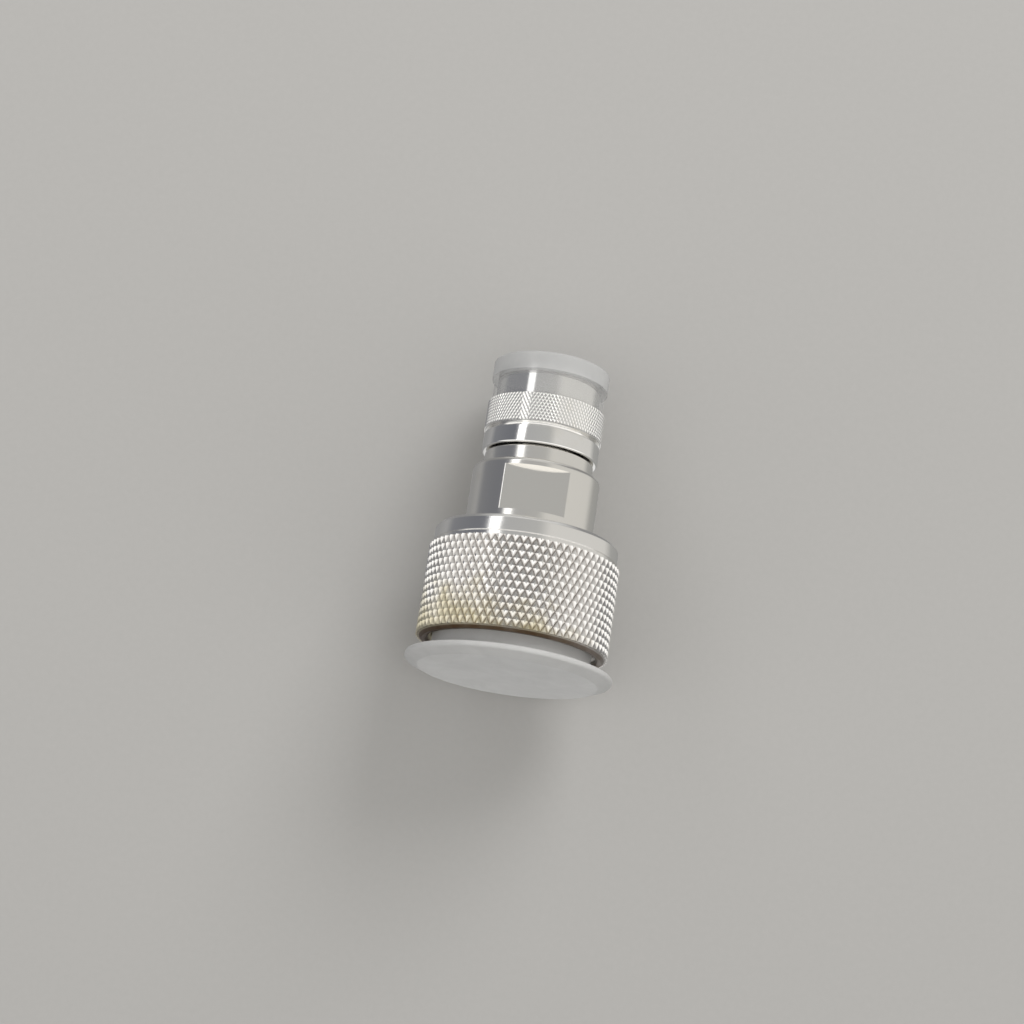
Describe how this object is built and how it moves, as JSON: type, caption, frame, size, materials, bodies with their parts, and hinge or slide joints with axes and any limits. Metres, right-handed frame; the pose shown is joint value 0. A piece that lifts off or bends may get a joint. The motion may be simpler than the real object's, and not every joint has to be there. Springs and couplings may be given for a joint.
{
  "type": "coaxial adapter",
  "caption": "Silver-plated coaxial adapter that joins a large and a small screw-on socket, with free-turning knurled nuts and pull-off plastic dust covers.",
  "frame": {"origin": "centre of the outer face of the large end's dust plug, which the adapter stands on", "axes": "+Z along the adapter's axis from the large end to the small end; X and Y span the base, with the spanner flats facing +Y and -Y"},
  "size_m": [0.0354, 0.0354, 0.0551],
  "materials": {
    "silver_plate": "silver plate on turned brass, bright with light yellow-brown tarnish",
    "contact_silver": "bright silver plate",
    "spring_bronze": "plain spring bronze",
    "seal_rubber": "moulded silicone rubber",
    "insulator": "turned white fluoroplastic",
    "dust_cover": "translucent moulded polyethylene"
  },
  "bodies": {
    "adapter_body": {"large_end_body": "silver_plate", "large_snap_ring": "spring_bronze", "large_gasket": "seal_rubber", "large_insulator": "insulator", "large_centre_pin": "contact_silver", "link_conductor": "contact_silver", "small_end_body": "silver_plate", "body_seal": "seal_rubber", "small_insulator": "insulator", "small_outer_contact": "contact_silver", "small_gasket": "seal_rubber", "small_centre_pin": "contact_silver", "small_snap_ring": "spring_bronze"},
    "large_nut": {"large_coupling_nut": "silver_plate"},
    "small_nut": {"small_coupling_nut": "silver_plate"},
    "large_plug": {"large_end_plug": "dust_cover"},
    "small_cap": {"small_end_cap": "dust_cover"}
  },
  "joints": [
    {"name": "large_nut_spin", "type": "hinge", "parent": "adapter_body", "child": "large_nut", "pos_m": [0, 0, 0.015], "axis": [0, 0, 1], "continuous": true},
    {"name": "small_nut_spin", "type": "hinge", "parent": "adapter_body", "child": "small_nut", "pos_m": [0, 0, 0.045], "axis": [0, 0, 1], "continuous": true},
    {"name": "large_plug_pull", "type": "slide", "parent": "large_nut", "child": "large_plug", "axis": [0, 0, -1], "range_m": [0, 0.015]},
    {"name": "small_cap_pull", "type": "slide", "parent": "small_nut", "child": "small_cap", "axis": [0, 0, 1], "range_m": [0, 0.012]}
  ]
}
